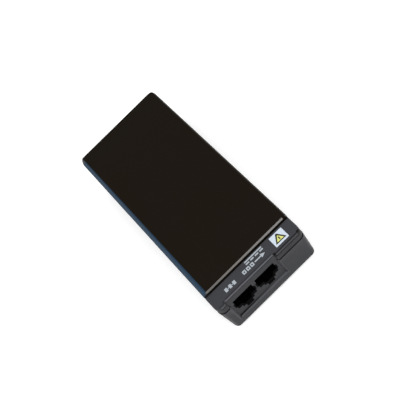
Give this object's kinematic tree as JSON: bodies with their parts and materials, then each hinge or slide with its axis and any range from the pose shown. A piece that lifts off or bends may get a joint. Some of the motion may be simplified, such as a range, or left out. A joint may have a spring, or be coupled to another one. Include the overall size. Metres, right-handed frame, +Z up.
{
  "type": "poe injector",
  "caption": "Slim mains-powered injector brick: flat labelled top, network jacks side by side in one end, mains inlet in the other, rubber feet below.",
  "frame": {"origin": "centre of the footprint, on the surface the feet stand on", "axes": "+Z up; +Y along the length towards the mains inlet, so the network jacks face -Y; +X to the right seen from the jack end"},
  "size_m": [0.0538, 0.1204, 0.032],
  "materials": {
    "upper_shell": "fine-textured dark grey",
    "lower_shell": "fine-textured dark grey",
    "top_label": "satin printed film",
    "label_side_band": "satin blue film",
    "label_front_border": "satin pale film",
    "port_markings": "white pad print",
    "caution_sticker": "white film",
    "caution_triangle": "yellow print",
    "caution_outline": "dark print",
    "rating_label": "blank silver-grey film",
    "rubber_feet": "matte",
    "case_screws": "zinc plated",
    "jack_housing": "black nylon",
    "left_jack_springs": "gold plated",
    "right_jack_springs": "gold plated",
    "jack_leads": "gold plated",
    "inlet_body": "black moulding",
    "inlet_pins": "nickel plated",
    "live_lead": "brown insulation",
    "neutral_lead": "blue insulation",
    "earth_lead": "green and yellow insulation",
    "main_pcb": "green solder mask",
    "fuse": "black moulding",
    "varistor": "blue lacquer",
    "x_capacitor": "yellow box",
    "choke_core": "ferrite",
    "choke_windings": "enamelled copper",
    "bridge_rectifier": "black epoxy",
    "bulk_capacitor": "sleeved can",
    "transformer_core": "ferrite",
    "transformer_bobbin": "phenolic",
    "transformer_winding": "taped copper winding",
    "power_transistor": "black epoxy",
    "primary_heatsink": "plain",
    "y_capacitor": "blue lacquer",
    "optocoupler": "black epoxy",
    "control_chips": "black epoxy",
    "output_diode": "black epoxy",
    "secondary_heatsink": "plain",
    "heatsink_screws": "zinc plated",
    "output_capacitors": "sleeved cans",
    "data_magnetics": "black epoxy",
    "chip_resistors": "black ceramic chips"
  },
  "bodies": {
    "case": {"upper_shell": "upper_shell", "lower_shell": "lower_shell", "top_label": "top_label", "label_side_band": "label_side_band", "label_front_border": "label_front_border", "port_markings": "port_markings", "caution_sticker": "caution_sticker", "caution_triangle": "caution_triangle", "caution_outline": "caution_outline", "rating_label": "rating_label", "rubber_feet": "rubber_feet", "case_screws": "case_screws", "jack_housing": "jack_housing", "jack_leads": "jack_leads", "inlet_body": "inlet_body", "inlet_pins": "inlet_pins", "live_lead": "live_lead", "neutral_lead": "neutral_lead", "earth_lead": "earth_lead", "main_pcb": "main_pcb", "fuse": "fuse", "varistor": "varistor", "x_capacitor": "x_capacitor", "choke_core": "choke_core", "choke_windings": "choke_windings", "bridge_rectifier": "bridge_rectifier", "bulk_capacitor": "bulk_capacitor", "transformer_core": "transformer_core", "transformer_bobbin": "transformer_bobbin", "transformer_winding": "transformer_winding", "power_transistor": "power_transistor", "primary_heatsink": "primary_heatsink", "y_capacitor": "y_capacitor", "optocoupler": "optocoupler", "control_chips": "control_chips", "output_diode": "output_diode", "secondary_heatsink": "secondary_heatsink", "heatsink_screws": "heatsink_screws", "output_capacitors": "output_capacitors", "data_magnetics": "data_magnetics", "chip_resistors": "chip_resistors"},
    "left_springs": {"left_jack_springs": "left_jack_springs"},
    "right_springs": {"right_jack_springs": "right_jack_springs"}
  },
  "joints": [
    {"name": "left_spring_flex", "type": "hinge", "parent": "case", "child": "left_springs", "pos_m": [-0.01299, -0.0559, 0.02435], "axis": [1, 0, 0], "range_deg": [0, 13], "stiffness_Nm_per_rad": 0.05},
    {"name": "right_spring_flex", "type": "hinge", "parent": "case", "child": "right_springs", "pos_m": [0.00098, -0.0559, 0.02435], "axis": [1, 0, 0], "range_deg": [0, 13], "stiffness_Nm_per_rad": 0.05}
  ]
}
